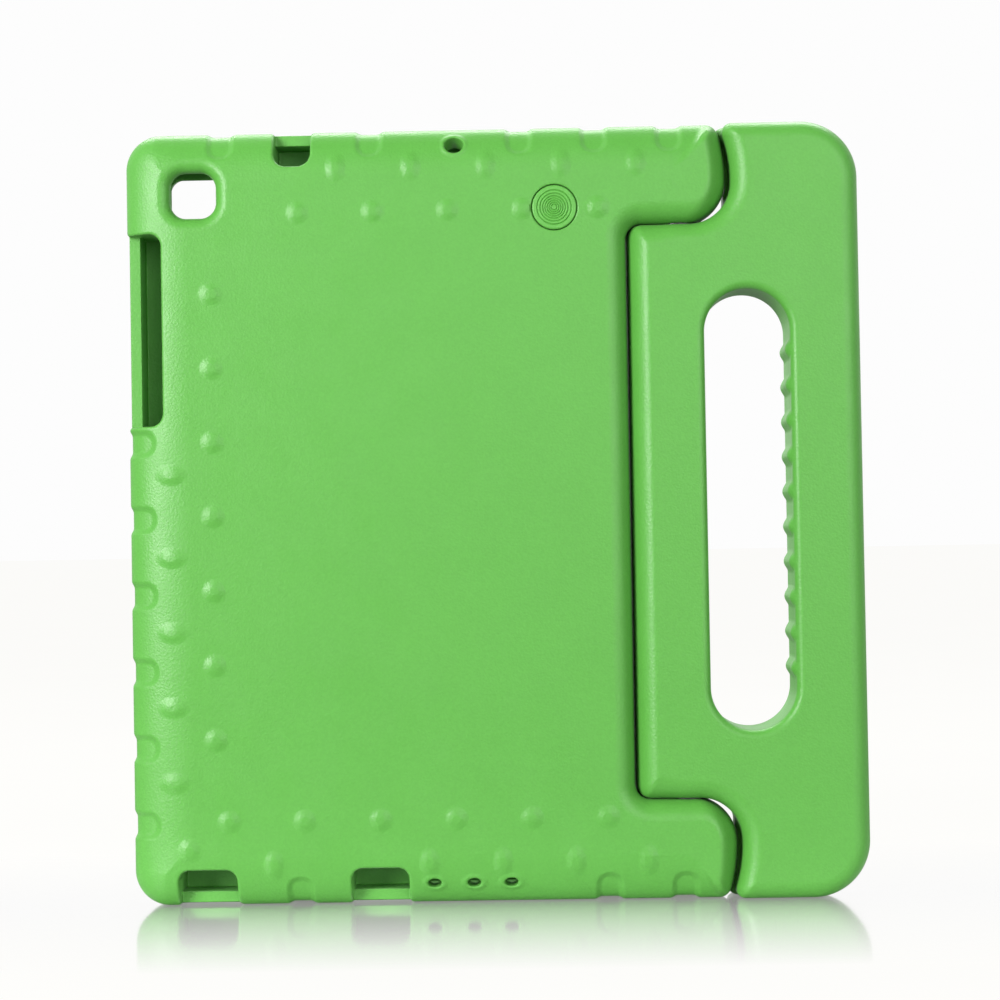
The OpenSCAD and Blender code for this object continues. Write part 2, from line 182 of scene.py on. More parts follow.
# Colours, lights and the studio. Lights are name, place, aim, size and power, in metres and watts.
FOAM_GREEN = (0.0755, 0.276, 0.0405)
FRONT_SKY = 0.10
SKY_FADE = (-0.5, 0.3)
SKY_SEEN = 0.982
FLOOR_GLOW = 0.955
FLOOR_FILL = 0.32
MIRROR_SHARE = 0.74
MIRROR_FADE = (0.012, 0.13)
LIGHTS = (("left_light", (-0.95, -1.05, 0.50), (0, 0, 0.10), (0.5, 0.9), 35),
          ("front_light", (0.75, -1.90, 0.70), (0, 0, 0.10), (1.6, 1.4), 24),
          ("right_light", (1.10, -1.00, 0.25), (0, 0, 0.14), (0.9, 0.9), 7),
          ("rim_light", (0, 0.65, 1.25), (0, 0, 0.24), (1.4, 0.4), 19))
CAMERA_PLACE = (14.5, -786.0, 123.8)
CAMERA_PITCH, CAMERA_ROLL, CAMERA_YAW = 1.24, -0.98, 0.94
CAMERA_LENS = 79.9

GRID = 0.62
SHELL_FACES = 196000
HANDLE_FACES = 90000


# ---------------------------------------------------------------- shapes as signed distances
class Samples:
    """Points where a distance is wanted: the crossings of a grid, or a loose list."""

    def __init__(self, x, y, z, loose):
        self.x, self.y, self.z, self.loose = x, y, z, loose

    def near(self, low, high):
        """The samples inside a box, and how to pick them out of an array."""
        if self.loose:
            inside = np.ones(self.x.shape, bool)
            for values, a, b in zip((self.x, self.y, self.z), low, high):
                inside &= (values > a) & (values < b)
            pick = np.nonzero(inside)[0]
            return pick, Samples(self.x[pick], self.y[pick], self.z[pick], True)
        ranges = [slice(*np.searchsorted(values.ravel(), (a, b)))
                  for values, a, b in zip((self.x, self.y, self.z), low, high)]
        x, y, z = ranges
        return tuple(ranges), Samples(self.x[x], self.y[:, y], self.z[:, :, z], False)


def round_max(a, b, r):
    """What lies in both shapes, with the edge between them rounded to radius r."""
    return np.minimum(-r, np.maximum(a, b)) + np.hypot(np.maximum(a + r, 0), np.maximum(b + r, 0))


def round_min(a, b, r):
    """What lies in either shape, with the corner between them filled to radius r."""
    return -round_max(-a, -b, r)


def rectangle(u, v, low, high, r):
    """Distance to a rectangle with corners of radius r."""
    qu = np.abs(u - (low[0] + high[0]) / 2) - (high[0] - low[0]) / 2 + r
    qv = np.abs(v - (low[1] + high[1]) / 2) - (high[1] - low[1]) / 2 + r
    return np.minimum(np.maximum(qu, qv), 0) + np.hypot(np.maximum(qu, 0), np.maximum(qv, 0)) - r


def slab(across, depth, reach, drop):
    """Distance to a slab whose edge is a quarter ellipse, reach wide and drop deep."""
    e = np.maximum(across / reach + 1, 0)
    v = np.maximum(depth / drop + 1, 0)
    q = np.hypot(e, v)
    slope = np.hypot(e / reach, v / drop)
    return np.where(q > 0, (q - 1) * q / np.maximum(slope, 1e-9), np.maximum(across, depth))


def ramp(value, start, end):
    """0 before start, 1 after end, smooth between them."""
    t = np.clip((value - start) / (end - start), 0, 1)
    return t * t * (3 - 2 * t)


def from_axis(s):
    """How far a point is from the hinge axis."""
    return np.hypot(s.x - AXIS_X, s.y - AXIS_Y)


def beyond_arm(s):
    """How far a point is past an arm's inner face, towards the arm's outer edge."""
    return np.abs(s.z - MID_Z) - ARM_FACE - GAP_SHIFT


def front_lip(s):
    """How far the front half of a gap's wall leans over the gap."""
    return LIP_REACH * ramp(s.y, MID_Y - 1, MID_Y + 3)


def bowed(s, bow):
    """How far an edge across the end of an arm leans back towards the case, further out from the middle."""
    return bow * np.maximum(np.abs(s.z - MID_Z) - BOW_START, 0) ** 2


def depth_past(s):
    """How far a point is past the nearer of the two flat faces."""
    return np.abs(s.y - MID_Y) - HALF_THICK


def rear_reach(s):
    """How wide the domed rear edge is: widest along the left side."""
    from_side = np.minimum(s.z, HEIGHT - s.z)
    return REAR_REACH + SIDE_REACH * ramp(from_side - (s.x - LEFT), -10, 10)


def shell_outlines(s):
    """Distances to the case's outer outline, and to the outline of its recess and arm ends."""
    turned = s.x + (from_axis(s) + AXIS_X - s.x) * ramp(s.x, AXIS_X + 2, AXIS_X + 17)
    outer = rectangle(s.x, s.z, (LEFT, 0), (OPEN_END, HEIGHT), CASE_CORNER)
    recess = rectangle(s.x, beyond_arm(s), (SECTION_RIGHT + front_lip(s), -BEYOND),
                       (OPEN_END, 0), RECESS_CORNER)
    return outer, round_max(turned - ARM_END + bowed(s, ARM_BOW), -recess, ARM_CORNER)


def shell_foam(s):
    """The case's solid foam before anything is cut or raised."""
    outer, inner = shell_outlines(s)
    inner_share = ramp(inner - outer, -4, 4)
    tip_share = ramp(s.x, ARM_END - 16, ARM_END - 4)
    rear = s.y < MID_Y
    outer_reach = np.where(rear, rear_reach(s), RIM_REACH)
    inner_reach = np.where(rear, RECESS_REACH_REAR - (RECESS_REACH_REAR - TIP_REACH) * tip_share,
                           RECESS_REACH_RIM - (RECESS_REACH_RIM - TIP_REACH) * tip_share)
    inner_drop = HINGE_DROP - TIP_DROP_LOSS * tip_share
    reach = outer_reach + (inner_reach - outer_reach) * inner_share
    outer_drop = np.where(rear, REAR_DROP, RIM_DROP)
    drop = outer_drop + (inner_drop - outer_drop) * inner_share
    d = slab(round_max(outer, inner, ARM_TIP_CORNER), depth_past(s), reach, drop)
    block_room = rectangle(-from_axis(s), beyond_arm(s), (-BLOCK_SWEEP - RUB_GAP, -BEYOND),
                           (60, 0), RECESS_CORNER)
    return np.maximum(d, -block_room)


def add_dome(d, s, x, z, half_x, half_z, height):
    """Raises a soft oval dot on the back."""
    pick, p = s.near((x - 9, BACK - 4, z - 9), (x + 9, BACK + 9, z + 9))
    u = np.hypot((p.x - x) / half_x, (p.z - z) / half_z)
    lift = height * (1 - ramp(u, 0.25, 1.25))
    d[pick] = np.where(p.y < MID_Y, d[pick] - lift, d[pick])


def sink_cup(d, s, x, z, way):
    """Sinks a cup into the outer edge. way is the direction out of the case, in X and Z."""
    side, rim, top = 14, 5, 2.0
    pick, p = s.near((x - side, BACK - 2, z - side), (x + side, FRONT, z + side))
    out = (p.x - x) * way[0] + (p.z - z) * way[1]
    along = (p.x - x) * way[1] - (p.z - z) * way[0]
    half = CUP_WIDTH / 2
    shape = rectangle(out, along, (-CUP_LENGTH, -half), (CUP_LENGTH, half), half - 0.4)
    shape = round_max(shape, p.y - (FRONT - rim), top)
    d[pick] = d[pick] + CUP_DEPTH * (1 - ramp(shape, -2.0, 0.6))


def cut_port(d, s, x, z, way, width, corner):
    """Cuts a port notch through the wall at an outer edge, with a step halfway in."""
    side = max(width / 2, WALL) + 6
    step_in, step_y, skim = 4.6, MID_Y - 3.5, 0.7
    pick, p = s.near((x - side, -FAR, z - side), (x + side, FAR, z + side))
    out = (p.x - x) * way[0] + (p.z - z) * way[1]
    along = (p.x - x) * way[1] - (p.z - z) * way[0]
    notch = rectangle(out, along, (-WALL - 0.1, -width / 2), (WALL, width / 2), corner)
    outer = np.maximum(notch, p.y - step_y)
    inner = np.maximum(np.maximum(notch, out + step_in), p.y - POCKET_TOP - 4)
    strip = rectangle(out, along, (-skim, -width / 2 - 0.3), (WALL, width / 2 + 0.3), 0.5)
    cut = np.minimum(np.minimum(outer, inner), strip)
    d[pick] = round_max(d[pick], -cut, 0.9)


def drill(d, s, x, z, up, size, lean, rim_r):
    """Drills an oval hole from the rear edge's rounding towards the pocket, inside a slight raised rim."""
    pick, p = s.near((x - 8, -FAR, z - 16), (x + 8, POCKET_TOP, z + 16))
    inward_y, inward_z = math.cos(math.radians(lean)), math.sin(math.radians(lean)) * up
    a, b = p.y - (BACK + 0.6), p.z - z
    across = b * inward_y - a * inward_z
    along = a * inward_y + b * inward_z
    width, height = size
    rim_wide, rim_high, length = 0.7, 0.3, 15
    oval = (np.hypot((p.x - x) / (width / 2), across / (height / 2)) - 1) * height / 2
    rim = np.exp(-((oval - rim_wide) / rim_wide) ** 2) * rim_high
    near_back = 1 - ramp(along, 3, 6)
    lifted = d[pick] - rim * near_back
    tunnel = np.maximum(oval, along - length)
    # The last part of the way is a flat passage into the side of the pocket.
    last_part = np.maximum(np.abs(p.x - x) - width / 2, np.abs(p.y - BACK - 12.0) - 2.4)
    last_part = np.maximum(last_part, np.abs(b * up - 3.5) - 4.0)
    d[pick] = np.maximum(round_max(lifted, -tunnel, rim_r), -last_part)


def bore(d, s, low_z, high_z, radius):
    """Bores a round hole along the hinge axis at both ends."""
    for flip in (1, -1):
        a, b = sorted((MID_Z + flip * low_z, MID_Z + flip * high_z))
        pick, p = s.near((AXIS_X - radius - 2, -FAR, a - 2), (AXIS_X + radius + 2, FAR, b + 2))
        hole = np.maximum(from_axis(p) - radius, np.maximum(a - p.z, p.z - b))
        d[pick] = np.maximum(d[pick], -hole)


def dots():
    """Every raised dot: its middle in X and Z, its half width, half height and rise."""
    ovals = [(LEFT_OVALS_X, z, OVAL_LONG, OVAL_SHORT) for z in LEFT_OVALS_Z]
    ovals += [(TOP_OVALS_START + DOT_STEP * k, TOP_OVALS_Z, OVAL_SHORT, OVAL_LONG) for k in range(5)]
    ovals += [(x, BOTTOM_OVALS_Z, OVAL_SHORT, OVAL_LONG) for x in BOTTOM_OVALS_X]
    ovals += [CORNER_DOT]
    rounds = [(LEFT_ROUNDS_X, LEFT_ROUNDS_START + LEFT_ROUNDS_STEP * k) for k in range(7)]
    rounds += [(TOP_ROUNDS_START + DOT_STEP * k, TOP_ROUNDS_Z) for k in range(5)]
    rounds += [(BOTTOM_ROUNDS_START + BOTTOM_ROUNDS_STEP * k, BOTTOM_ROUNDS_Z) for k in range(6)]
    return ([(*oval, OVAL_RISE) for oval in ovals]
            + [(x, z, ROUND_R, ROUND_R, ROUND_RISE) for x, z in rounds])


def hollow_pocket(d, s):
    """Hollows the pocket and cuts the window in front of it, with a slight draft."""
    pick, p = s.near((LEFT, POCKET_FLOOR - 3, 0), (SECTION_RIGHT, FAR, HEIGHT))
    room = rectangle(p.x, p.z, POCKET_LO, POCKET_HI, POCKET_CORNER)
    room = round_max(room, np.abs(p.y - (POCKET_FLOOR + POCKET_TOP) / 2) - POCKET_T / 2, POCKET_EDGE)
    window = rectangle(p.x, p.z, [v + LIP for v in POCKET_LO], [v - LIP for v in POCKET_HI], WINDOW_CORNER)
    window = window - BEZEL_SLOPE * (p.y - POCKET_TOP)
    window = np.maximum(window, POCKET_FLOOR + 1 - p.y)
    d[pick] = np.maximum(round_max(d[pick], -window, WINDOW_EDGE), -room)


def cut_lens_hole(d, s):
    """Cuts the hole in front of the tablet's lens, widely rounded at the back."""
    pick, p = s.near((LEFT, -FAR, HEIGHT - 45), (LEFT + 45, POCKET_TOP, HEIGHT))
    hole = rectangle(p.x, p.z, LENS_HOLE_LO, LENS_HOLE_HI, LENS_HOLE_CORNER)
    d[pick] = round_max(d[pick], -np.maximum(hole, p.y - POCKET_TOP), LENS_HOLE_EDGE)


def cut_disc_seat(d, s):
    """Cuts the round seat of the disc into a small flat on the back."""
    pick, p = s.near((DISC_X - 12, -FAR, DISC_Z - 12), (DISC_X + 12, POCKET_FLOOR, DISC_Z + 12))
    seat_r = DISC_RADIUS + DISC_GAP
    across = np.hypot(p.x - DISC_X, p.z - DISC_Z)
    seat = np.maximum(across - seat_r, p.y - (BACK + 1.95))
    stem = np.maximum(across - DISC_STEM_R, p.y - DISC_HI[1])
    flat = np.maximum(across - seat_r - 0.4, p.y - BACK)
    d[pick] = round_max(np.maximum(d[pick], -flat), -np.minimum(seat, stem), 0.35)


def shell_distance(s):
    """Distance to the case's moulded shell."""
    d = shell_foam(s) + 0 * (s.x + s.y + s.z)
    for x, z, half_x, half_z, rise in dots():
        add_dome(d, s, x, z, half_x, half_z, rise)
    for k in range(6):
        sink_cup(d, s, LEFT, LEFT_CUPS_START + CUP_STEP * k, (-1, 0))
    for k in (0, 2, 4, 5, 6):
        sink_cup(d, s, TOP_CUPS_START + DOT_STEP * k, HEIGHT, (0, 1))
    for x in BOTTOM_CUPS_X:
        sink_cup(d, s, x, 0, (0, -1))
    hollow_pocket(d, s)
    cut_lens_hole(d, s)
    for x, z, way, width, corner in PORTS:
        cut_port(d, s, x, z, way, width, corner)
    for x in GRILLE_X:
        drill(d, s, x, GRILLE_Z, 1, GRILLE_SIZE, GRILLE_LEAN, 0.3)
    drill(d, s, JACK_X, JACK_Z, -1, JACK_SIZE, JACK_LEAN, 0.5)
    cut_disc_seat(d, s)
    bore(d, s, ARM_FACE - 3, BUSH_HI[2] - MID_Z + 5, BUSH_R)
    bore(d, s, ARM_FACE - 3, ARM_FACE + 1.5, FLANGE_R)
    return d


def handle_foam(s):
    """The handle's solid foam: the block between the arms and the bar, clear of the arms as it swings."""
    up = np.abs(s.z - MID_Z)
    face = BLOCK_FACE + BLOCK_RISE + GAP_SHIFT
    outer = rectangle(s.x, s.z, (BLOCK_IN, 0), (BAR_END, HEIGHT), BAR_CORNER)
    square_left = np.maximum(BLOCK_IN - s.x, up - MID_Z)
    outer = np.where(s.x < BAR_IN + 10, np.maximum(square_left, s.x - BAR_END), outer)
    lip = front_lip(s) * ramp(up - face, 6, 14)
    notch = rectangle(s.x + bowed(s, BAR_BOW) + lip, face - up, (-BEYOND, -BEYOND), (BAR_IN, 0), BAR_FILLET)
    outline = round_max(outer, -notch, np.where(s.x > AXIS_X, BAR_TIP_CORNER, BLOCK_CORNER))
    block_share = 1 - ramp(s.x, BLOCK_IN + 6, AXIS_X)
    near_arm = (1 - ramp(s.x, BAR_IN + 4, BAR_IN + 10)) * ramp(s.x, AXIS_X + 2, AXIS_X + 8)
    reach = BAR_REACH + BLOCK_MORE_REACH * block_share - BAR_LESS_REACH * near_arm * (s.y > MID_Y)
    near_hinge = 1 - ramp(up - face, 2, 12)
    drop = reach + np.minimum(HINGE_DROP - reach, 0) * near_hinge
    d = slab(outline, depth_past(s), reach, drop)
    d = round_max(d, np.where(s.x < AXIS_X, from_axis(s), 0) - BLOCK_SWEEP, BLOCK_SWEEP_CORNER)
    arm_room = rectangle(from_axis(s) + bowed(s, ARM_BOW), face - up, (-BEYOND, -BEYOND),
                         (ARM_END + RUB_GAP - AXIS_X, 0), ARM_CORNER - 0.4)
    return np.maximum(d, -arm_room)


def handle_distance(s):
    """Distance to the carry handle."""
    d = handle_foam(s)
    slot = rectangle(s.x, s.z, (SLOT_RIGHT - SLOT_WIDTH, MID_Z - SLOT_HALF),
                     (SLOT_RIGHT, MID_Z + SLOT_HALF), SLOT_CORNER)
    d = round_max(d, -slot, SLOT_EDGE)
    for k in range(RIBS):
        z = MID_Z + RIB_PITCH * (k - (RIBS - 1) / 2)
        half = RIB_PITCH / 2
        pick, p = s.near((SLOT_RIGHT - 6, BACK, z - half), (SLOT_RIGHT + 6, FRONT, z + half))
        past_rib = np.maximum(np.abs(p.y - MID_Y) - RIB_HALF_LENGTH, 0)
        rib = np.sqrt((p.x - SLOT_RIGHT - RIB_IN) ** 2 + (p.z - z) ** 2 + past_rib ** 2) - RIB_R
        d[pick] = round_min(d[pick], rib, RIB_FILLET)
    bore(d, s, ANCHOR_LO[2] - MID_Z, BLOCK_FACE + 3, BUSH_R)
    bore(d, s, BLOCK_FACE - 1.5, BLOCK_FACE + 3, FLANGE_R)
    return d


# ---------------------------------------------------------------- meshes
def grid_samples(low, high, step):
    """A grid of samples around a box, as its three axes and the samples."""
    axes = [np.arange(a - 2 * step, b + 3 * step, step, dtype=np.float32) for a, b in zip(low, high)]
    return axes, Samples(axes[0][:, None, None], axes[1][None, :, None], axes[2][None, None, :], False)


def crossings(d, axes, axis):
    """Where the zero surface crosses the grid lines along one axis, with the four cells around each."""
    near = np.moveaxis(d, axis, 0)
    i, j, k = np.nonzero((near[:-1] < 0) != (near[1:] < 0))
    a, b = near[i, j, k], near[i + 1, j, k]
    share = a / (a - b)
    order = [axis] + [x for x in range(3) if x != axis]
    points = np.empty((len(i), 3))
    points[:, order[0]] = axes[axis][i] + share * (axes[axis][i + 1] - axes[axis][i])
    points[:, order[1]] = axes[order[1]][j]
    points[:, order[2]] = axes[order[2]][k]
    cells = np.empty((len(i), 4, 3), np.int64)
    cells[:, :, order[0]] = i[:, None]
    cells[:, :, order[1]] = j[:, None] + np.array([-1, 0, 0, -1])
    cells[:, :, order[2]] = k[:, None] + np.array([-1, -1, 0, 0])
    flip = (a >= 0) != (axis == 1)
    cells[flip] = cells[flip][:, ::-1]
    return points, np.ravel_multi_index(np.moveaxis(cells, 2, 0), d.shape)


def surface(distance, low, high, step):
    """The zero surface of a distance function as points and four-sided faces, one point per grid cell."""
    axes, grid = grid_samples(low, high, step)
    d = distance(grid)
    found = [crossings(d, axes, axis) for axis in range(3)]
    cells = np.concatenate([c for _, c in found])
    corner = np.concatenate([np.repeat(p, 4, axis=0) for p, _ in found])
    used, index = np.unique(cells.ravel(), return_inverse=True)
    count = np.bincount(index, minlength=len(used))
    points = np.stack([np.bincount(index, corner[:, n], len(used)) / count for n in range(3)], axis=1)
    return points, index.reshape(-1, 4)


def slope(distance, points, reach=0.06):
    """Distance and its gradient at loose points."""
    gradient = np.zeros(points.shape)
    total = np.zeros(len(points))
    for way in ((1, 1, 1), (1, -1, -1), (-1, 1, -1), (-1, -1, 1)):
        at = points + reach * np.array(way)
        value = distance(Samples(at[:, 0], at[:, 1], at[:, 2], True))
        gradient += value[:, None] * np.array(way) / (4 * reach)
        total += value / 4
    return total, gradient


def settle(distance, points, step, rounds):
    """Moves points onto the zero surface."""
    for _ in range(rounds):
        d, gradient = slope(distance, points)
        length = np.maximum(np.linalg.norm(gradient, axis=1), 0.3)
        points = points - (np.clip(d, -step, step) / length ** 2)[:, None] * gradient
    return points


def link(obj):
    """Puts an object into the scene."""
    bpy.context.scene.collection.objects.link(obj)
    return obj


def mesh_object(name, points_mm, faces):
    """A new object from points in millimetres and faces that all have as many corners."""
    mesh = bpy.data.meshes.new(name)
    mesh.vertices.add(len(points_mm))
    mesh.vertices.foreach_set("co", (points_mm * MM).astype(np.float32).ravel())
    mesh.loops.add(faces.size)
    mesh.loops.foreach_set("vertex_index", faces.astype(np.int32).ravel())
    mesh.polygons.add(len(faces))
    mesh.polygons.foreach_set("loop_start", np.arange(0, faces.size, faces.shape[1], dtype=np.int32))
    mesh.update(calc_edges=True)
    mesh.validate()
    return link(bpy.data.objects.new(name, mesh))


def moulding(name, distance, low, high, face_limit):
    """A moulded piece: the zero surface in at most face_limit triangles, with the shape's own normals."""
    points, quads = surface(distance, low, high, GRID)
    points = settle(distance, points, GRID, 1)
    obj = mesh_object(name, points, quads)
    thin = obj.modifiers.new("Thin", "DECIMATE")
    thin.ratio = min(1.0, face_limit / (2 * len(quads)))
    thin.use_collapse_triangulate = True
    bpy.context.view_layer.update()
    evaluated = obj.evaluated_get(bpy.context.evaluated_depsgraph_get())
    thinned = bpy.data.meshes.new_from_object(evaluated)
    obj.modifiers.clear()
    obj.data = thinned
    co = np.empty(len(thinned.vertices) * 3, np.float32)
    thinned.vertices.foreach_get("co", co)
    points = settle(distance, co.reshape(-1, 3) / MM, GRID / 2, 2)
    thinned.vertices.foreach_set("co", (points * MM).astype(np.float32).ravel())
    thinned.shade_smooth()
    _, gradient = slope(distance, points)
    normals = gradient / np.maximum(np.linalg.norm(gradient, axis=1), 1e-6)[:, None]
    thinned.normals_split_custom_set_from_vertices(normals)
    thinned.update()
    return obj


def ring_height(r):
    """How far the disc's face stands below its highest level at radius r."""
    edge = DISC_RADIUS - DISC_EDGE
    grooves = sum(GROOVE_DEPTH * math.exp(-((r - g) / GROOVE_WIDTH) ** 2) for g in DISC_GROOVES)
    rim = DISC_EDGE - math.sqrt(max(DISC_EDGE ** 2 - max(r - edge, 0) ** 2, 0))
    return grooves + rim


def ringed_disc():
    """The disc on the back, with its fine rings turned around the Y axis."""
    fine = 0.06
    radii = np.concatenate([np.arange(fine, DISC_RADIUS - DISC_EDGE, fine),
                            DISC_RADIUS - DISC_EDGE * (1 - np.sin(np.linspace(0, math.pi / 2, 7)))])
    profile = [(r, DISC_LO[1] + ring_height(r)) for r in radii]
    underside = DISC_LO[1] + DISC_THICK
    profile += [(DISC_RADIUS, underside), (DISC_STEM_R, underside), (DISC_STEM_R, DISC_HI[1])]
    turns = 128
    angles = np.linspace(0, 2 * math.pi, turns, endpoint=False)
    points = [(DISC_X, profile[0][1], DISC_Z)]
    for r, y in profile:
        points += [(DISC_X + r * math.cos(a), y, DISC_Z + r * math.sin(a)) for a in angles]
    points.append((DISC_X, DISC_HI[1], DISC_Z))
    faces = []
    last = len(points) - 1
    for n in range(turns):
        after = (n + 1) % turns
        faces.append((0, 1 + n, 1 + after))
        for ring in range(len(profile) - 1):
            a, b = 1 + ring * turns, 1 + (ring + 1) * turns
            faces.append((a + n, b + n, b + after, a + after))
        faces.append((last, last - turns + after, last - turns + n))
    mesh = bpy.data.meshes.new("disc_with_rings")
    mesh.from_pydata([tuple(v * MM for v in p) for p in points], [], faces)
    mesh.shade_smooth()
    mesh.set_sharp_from_angle(angle=math.radians(50))
    return link(bpy.data.objects.new("disc_with_rings", mesh))


# ---------------------------------------------------------------- materials
def set_range(node, source_low, source_high, low, high):
    """Sets what a Map Range node reads from and what it gives."""
    sockets = ("From Min", "From Max", "To Min", "To Max")
    for socket, value in zip(sockets, (source_low, source_high, low, high)):
        node.inputs[socket].default_value = value


class Nodes:
    """A material's node tree, with short ways to add and join nodes."""

    def __init__(self, name):
        self.material = bpy.data.materials.new(name)
        self.material.use_nodes = True
        self.tree = self.material.node_tree
        self.shader = self.tree.nodes["Principled BSDF"]
        self.place = self.tree.nodes.new("ShaderNodeTexCoord").outputs["Object"]

    def join(self, source, target):
        self.tree.links.new(source, target)

    def noise(self, size_mm, detail=2.0, place=None, roughness=0.5):
        node = self.tree.nodes.new("ShaderNodeTexNoise")
        node.inputs["Scale"].default_value = 1 / (size_mm * MM)
        node.inputs["Detail"].default_value = detail
        node.inputs["Roughness"].default_value = roughness
        self.join(place or self.place, node.inputs["Vector"])
        return node.outputs["Fac"]

    def pebbles(self, size_mm):
        node = self.tree.nodes.new("ShaderNodeTexVoronoi")
        node.feature = "SMOOTH_F1"
        node.inputs["Scale"].default_value = 1 / (size_mm * MM)
        node.inputs["Smoothness"].default_value = 0.6
        self.join(self.place, node.inputs["Vector"])
        return node.outputs["Distance"]

    def stretched(self, x, y, z):
        node = self.tree.nodes.new("ShaderNodeMapping")
        node.inputs["Scale"].default_value = (x, y, z)
        self.join(self.place, node.inputs["Vector"])
        return node.outputs["Vector"]

    def spread(self, source, low, high, source_low=0.3, source_high=0.7):
        node = self.tree.nodes.new("ShaderNodeMapRange")
        set_range(node, source_low, source_high, low, high)
        self.join(source, node.inputs["Value"])
        return node.outputs["Result"]

    def colours(self, source, *stops):
        node = self.tree.nodes.new("ShaderNodeValToRGB")
        ramp_stops = node.color_ramp.elements
        while len(ramp_stops) < len(stops):
            ramp_stops.new(0.5)
        for element, (position, colour) in zip(ramp_stops, stops):
            element.position = position
            element.color = (*colour, 1)
        self.join(source, node.inputs["Fac"])
        return node.outputs["Color"]

    def add(self, a, b, share):
        node = self.tree.nodes.new("ShaderNodeMath")
        node.operation = "MULTIPLY_ADD"
        self.join(b, node.inputs[0])
        node.inputs[1].default_value = share
        self.join(a, node.inputs[2])
        return node.outputs["Value"]

    def bump(self, height, depth_mm, strength=1.0, under=None):
        node = self.tree.nodes.new("ShaderNodeBump")
        node.inputs["Strength"].default_value = strength
        node.inputs["Distance"].default_value = depth_mm * MM
        self.join(height, node.inputs["Height"])
        if under:
            self.join(under, node.inputs["Normal"])
        return node.outputs["Normal"]

    def finish(self, colour, roughness, normal, **sockets):
        self.join(colour, self.shader.inputs["Base Color"])
        self.join(roughness, self.shader.inputs["Roughness"])
        self.join(normal, self.shader.inputs["Normal"])
        for name, value in sockets.items():
            self.shader.inputs[name.replace("_", " ")].default_value = value
        return self.material


def scaled(colour, share):
    return tuple(c * share for c in colour)


def foam_material(name, colour, grain_mm=0.06):
    """Closed-cell moulded foam: pebbled skin, faint mottling and a soft sheen."""
    n = Nodes(name)
    mottle = n.noise(16, 2)
    speckle = n.noise(0.8, 2)
    base = n.colours(n.add(speckle, mottle, 0.3),
                     (0.40, scaled(colour, 0.95)), (0.65, colour), (0.90, scaled(colour, 1.05)))
    grain = n.add(n.pebbles(0.85), n.noise(0.5, 2), 0.5)
    waves = n.bump(n.noise(9, 1), 0.05, 0.5)
    normal = n.bump(grain, grain_mm, 1.0, under=waves)
    roughness = n.spread(n.add(n.noise(14, 2), speckle, 0.3), 0.36, 0.46, 0.4, 0.9)
    return n.finish(base, roughness, normal,
                    Specular_IOR_Level=0.33, Sheen_Weight=0.02, Sheen_Roughness=0.4)


def plastic_material(name, colour, roughness, grain_mm):
    """Moulded plastic or rubber with a fine even grain and slight scuffs."""
    n = Nodes(name)
    scuffs = n.noise(3.0, 4, n.stretched(1, 1, 0.25), 0.65)
    base = n.colours(scuffs, (0.35, scaled(colour, 0.85)), (0.6, colour), (0.85, scaled(colour, 1.3)))
    rough = n.spread(scuffs, roughness - 0.06, roughness + 0.08)
    return n.finish(base, rough, n.bump(n.noise(0.3, 2), grain_mm), Specular_IOR_Level=0.5)


def steel_material(name):
    """Spring steel with rolling marks across the strip."""
    n = Nodes(name)
    marks = n.noise(0.4, 3, n.stretched(1, 0.08, 1), 0.6)
    base = n.colours(marks, (0.3, (0.42, 0.42, 0.43)), (0.7, (0.62, 0.62, 0.63)))
    return n.finish(base, n.spread(marks, 0.24, 0.38), n.bump(marks, 0.01), Metallic=1.0)


def coat(obj, material):
    """Gives an object one material on every face."""
    obj.data.materials.clear()
    obj.data.materials.append(material)
    return obj


# ---------------------------------------------------------------- the studio
def soft_light(name, place, aim, size, power):
    """A square soft light at a place, aimed at a point, in metres."""
    data = bpy.data.lights.new(name, "AREA")
    data.shape = "RECTANGLE"
    data.size, data.size_y = size
    data.energy = power
    obj = link(bpy.data.objects.new(name, data))
    obj.location = place
    obj.rotation_euler = (Vector(aim) - Vector(place)).to_track_quat("-Z", "Y").to_euler()
    obj.visible_camera = False
    return obj


def studio_world():
    """White surroundings: brightest behind the object, dimmer on the camera's side."""
    world = bpy.data.worlds.new("studio")
    world.use_nodes = True
    bpy.context.scene.world = world
    tree = world.node_tree
    background = tree.nodes["Background"]
    background.inputs["Color"].default_value = (1, 1, 1, 1)
    place = tree.nodes.new("ShaderNodeTexCoord")
    split = tree.nodes.new("ShaderNodeSeparateXYZ")
    tree.links.new(place.outputs["Generated"], split.inputs["Vector"])
    fade = tree.nodes.new("ShaderNodeMapRange")
    fade.interpolation_type = "SMOOTHSTEP"
    set_range(fade, *SKY_FADE, FRONT_SKY, 1.0)
    tree.links.new(split.outputs["Y"], fade.inputs["Value"])
    path = tree.nodes.new("ShaderNodeLightPath")
    pick = tree.nodes.new("ShaderNodeMix")
    tree.links.new(path.outputs["Is Camera Ray"], pick.inputs["Factor"])
    tree.links.new(fade.outputs["Result"], pick.inputs["A"])
    pick.inputs["B"].default_value = SKY_SEEN
    tree.links.new(pick.outputs["Result"], background.inputs["Strength"])


